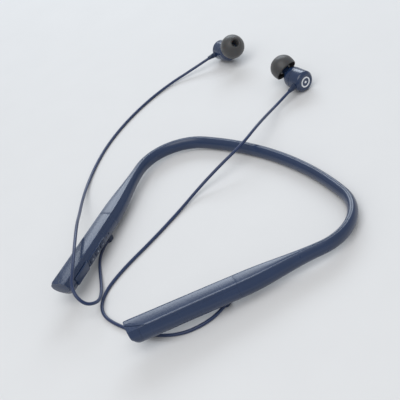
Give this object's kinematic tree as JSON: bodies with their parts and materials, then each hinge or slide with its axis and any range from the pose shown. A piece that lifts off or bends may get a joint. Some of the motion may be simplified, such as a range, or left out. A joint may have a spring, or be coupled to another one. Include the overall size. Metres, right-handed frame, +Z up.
{
  "type": "neckband earphones",
  "caption": "U-shaped neckband with a rigid pod on each arm, side buttons, a covered charging port and two earbuds on thin cords.",
  "frame": {"origin": "middle of the footprint of the neckband and earbuds, on the surface they lie on", "axes": "+Z up from the surface, +Y towards the back of the neck, the arms' tips towards -Y, and the arm with the controls on the -X side"},
  "size_m": [0.1854, 0.1962, 0.0199],
  "materials": {
    "silicone": "satin",
    "shell": "satin",
    "bud_shell": "satin",
    "cord": "satin",
    "ear_tip": "matte",
    "emblem": "gloss",
    "mesh": "satin",
    "spring_steel": "satin",
    "cable": "satin",
    "plated_steel": "satin",
    "black_plastic": "matte",
    "circuit_board": "satin",
    "battery": "satin",
    "foam": "matte",
    "clear_plastic": "gloss",
    "copper": "satin"
  },
  "bodies": {
    "neckband_and_buds": {"aerial": "black_plastic", "band_core_wire": "spring_steel", "band_jacket": "silicone", "band_link_cable": "cable", "battery_cell": "battery", "battery_guard_board": "circuit_board", "battery_pad": "foam", "bluetooth_module": "plated_steel", "board_screws": "plated_steel", "button_frame": "shell", "button_switches": "black_plastic", "control_board": "circuit_board", "left_bud_boot": "cord", "left_bud_clasp_magnet": "plated_steel", "left_bud_driver_basket": "black_plastic", "left_bud_driver_diaphragm": "clear_plastic", "left_bud_driver_magnet": "plated_steel", "left_bud_end_emblem": "emblem", "left_bud_front_housing": "bud_shell", "left_bud_nozzle_mesh": "mesh", "left_bud_rear_housing": "bud_shell", "left_bud_voice_coil": "copper", "left_cord": "cord", "left_cord_gland": "silicone", "left_core_anchor": "plated_steel", "left_end_cap": "shell", "left_lower_shell": "shell", "left_top_cover": "shell", "light_pipe": "clear_plastic", "microphone": "black_plastic", "microphone_seal": "foam", "right_bud_boot": "cord", "right_bud_clasp_magnet": "plated_steel", "right_bud_driver_basket": "black_plastic", "right_bud_driver_diaphragm": "clear_plastic", "right_bud_driver_magnet": "plated_steel", "right_bud_end_emblem": "emblem", "right_bud_front_housing": "bud_shell", "right_bud_nozzle_mesh": "mesh", "right_bud_rear_housing": "bud_shell", "right_bud_voice_coil": "copper", "right_cord": "cord", "right_cord_gland": "silicone", "right_core_anchor": "plated_steel", "right_end_cap": "shell", "right_lower_shell": "shell", "right_top_cover": "shell", "status_lamp": "clear_plastic", "usb_receptacle": "plated_steel"},
    "plus_button": {"plus_button": "shell"},
    "play_button": {"play_button": "shell"},
    "minus_button": {"minus_button": "shell"},
    "port_cover": {"port_cover": "silicone"},
    "left_ear_tip": {"left_bud_ear_tip": "ear_tip"},
    "right_ear_tip": {"right_bud_ear_tip": "ear_tip"}
  },
  "joints": [
    {"name": "plus_button_press", "type": "slide", "parent": "neckband_and_buds", "child": "plus_button", "axis": [-0.9078, -0.4185, 0.0279], "range_m": [0, 0.0003], "stiffness_N_per_m": 1500, "springref_m": -0.0002},
    {"name": "play_button_press", "type": "slide", "parent": "neckband_and_buds", "child": "play_button", "axis": [-0.9078, -0.4185, 0.0279], "range_m": [0, 0.0003], "stiffness_N_per_m": 1500, "springref_m": -0.0002},
    {"name": "minus_button_press", "type": "slide", "parent": "neckband_and_buds", "child": "minus_button", "axis": [-0.9078, -0.4185, 0.0279], "range_m": [0, 0.0003], "stiffness_N_per_m": 1500, "springref_m": -0.0002},
    {"name": "port_cover_swing", "type": "hinge", "parent": "neckband_and_buds", "child": "port_cover", "pos_m": [-0.00813, -0.07847, 0.00949], "axis": [0, 0.0665, 0.9978], "range_deg": [0, 110]},
    {"name": "left_ear_tip_pull", "type": "slide", "parent": "neckband_and_buds", "child": "left_ear_tip", "axis": [0.7579, -0.1112, 0.6428], "range_m": [0, 0.004]},
    {"name": "right_ear_tip_pull", "type": "slide", "parent": "neckband_and_buds", "child": "right_ear_tip", "axis": [-0.8246, 0.0852, 0.5592], "range_m": [0, 0.004]}
  ]
}
